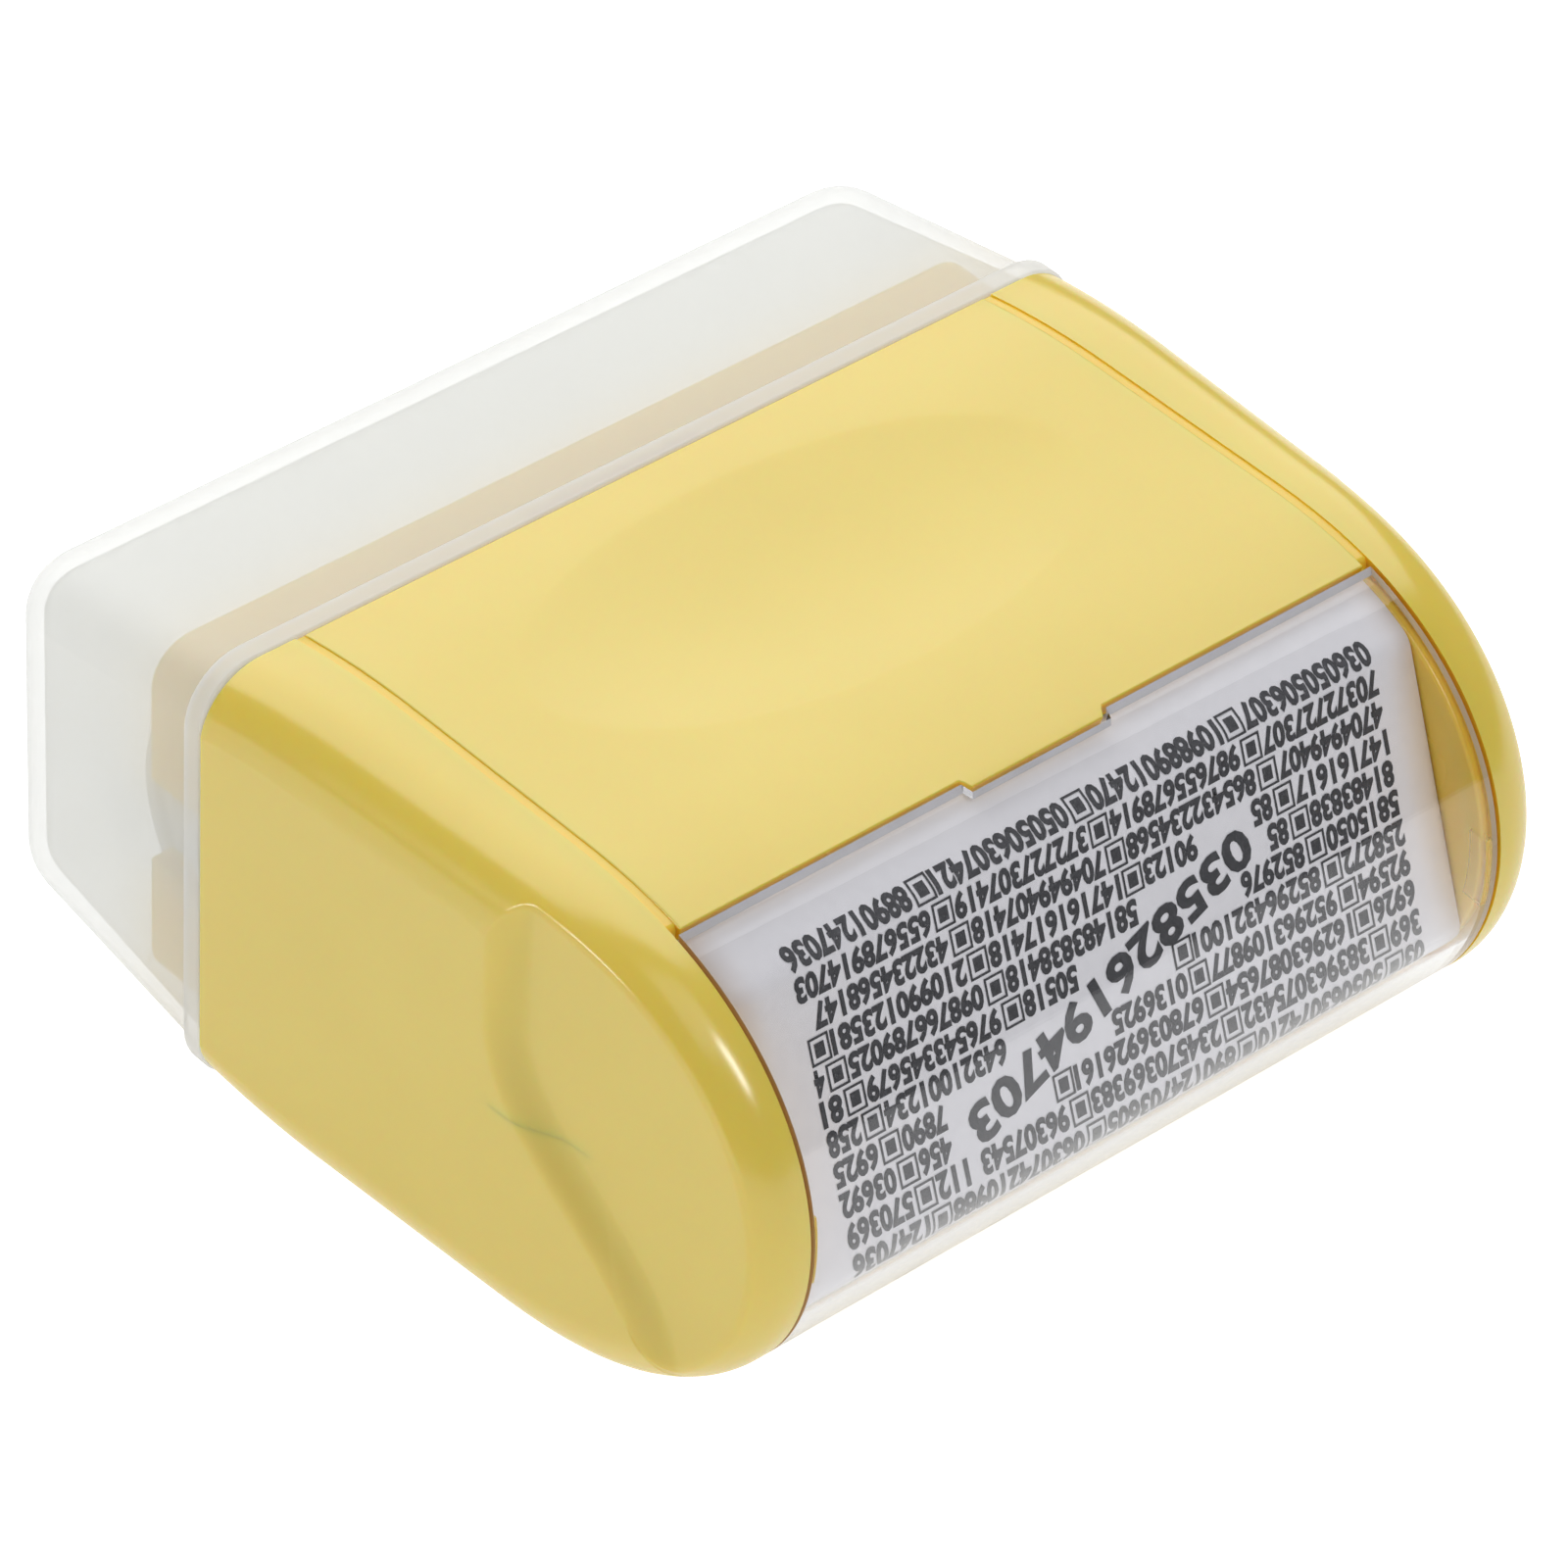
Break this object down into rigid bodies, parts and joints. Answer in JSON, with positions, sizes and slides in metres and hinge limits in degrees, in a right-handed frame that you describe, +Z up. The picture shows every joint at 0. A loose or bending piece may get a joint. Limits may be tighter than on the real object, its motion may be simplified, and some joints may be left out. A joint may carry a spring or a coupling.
{
  "type": "privacy roller stamp",
  "caption": "Wide hand-held inked roller stamp with a translucent push-on cap and a clear label window; its print drum is inked by a felt roller.",
  "frame": {"origin": "centre of the bounding box's bottom face, under the wide lower cover that the stamp lies on", "axes": "+X along the width and the print drum, +Y towards the cap, +Z up through the thickness"},
  "size_m": [0.0622, 0.0602, 0.03],
  "materials": {
    "yellow_abs": "moulded yellow ABS, satin gloss",
    "frame_abs": "moulded yellow ABS, inner face, matt",
    "clear_plastic": "clear moulded styrene, polished",
    "label_paper": "white printed card, matt",
    "milky_cap": "milky translucent polypropylene",
    "print_rubber": "pale moulded print rubber",
    "grey_abs": "moulded pale grey plastic",
    "axle_steel": "ground steel rod",
    "white_pom": "moulded white acetal",
    "inked_felt": "felt soaked with dark ink",
    "plug_rubber": "moulded rubber"
  },
  "bodies": {
    "housing": {"upper_cover": "yellow_abs", "lower_cover": "yellow_abs", "inner_frame": "frame_abs", "left_side_cover": "yellow_abs", "right_side_cover": "yellow_abs", "label_card": "label_paper", "label_carrier": "frame_abs", "drum_axle": "axle_steel", "left_axle_bush": "white_pom", "right_axle_bush": "white_pom", "left_ink_bush": "white_pom", "right_ink_bush": "white_pom", "ink_wick_pad": "inked_felt", "filler_plug": "plug_rubber"},
    "cap_body": {"cap": "milky_cap"},
    "window": {"window_cover": "clear_plastic"},
    "stamp_drum": {"print_sleeve": "print_rubber", "drum_core": "grey_abs", "left_drum_end": "grey_abs", "right_drum_end": "grey_abs"},
    "ink_roller": {"ink_roller_felt": "inked_felt", "ink_roller_core": "white_pom"}
  },
  "joints": [
    {"name": "cap_pull", "type": "slide", "parent": "housing", "child": "cap_body", "axis": [0, 1, 0], "range_m": [0, 0.022]},
    {"name": "window_pull", "type": "slide", "parent": "housing", "child": "window", "axis": [0, -1, 0], "range_m": [0, 0.012]},
    {"name": "drum_spin", "type": "hinge", "parent": "housing", "child": "stamp_drum", "pos_m": [0, 0.01285, 0.015], "axis": [1, 0, 0], "continuous": true},
    {"name": "ink_roller_spin", "type": "hinge", "parent": "housing", "child": "ink_roller", "pos_m": [0, -0.00249, 0.015], "axis": [1, 0, 0], "continuous": true}
  ],
  "couplings": [
    {"joint": "ink_roller_spin", "follows": "drum_spin", "ratio": -1.7844}
  ]
}
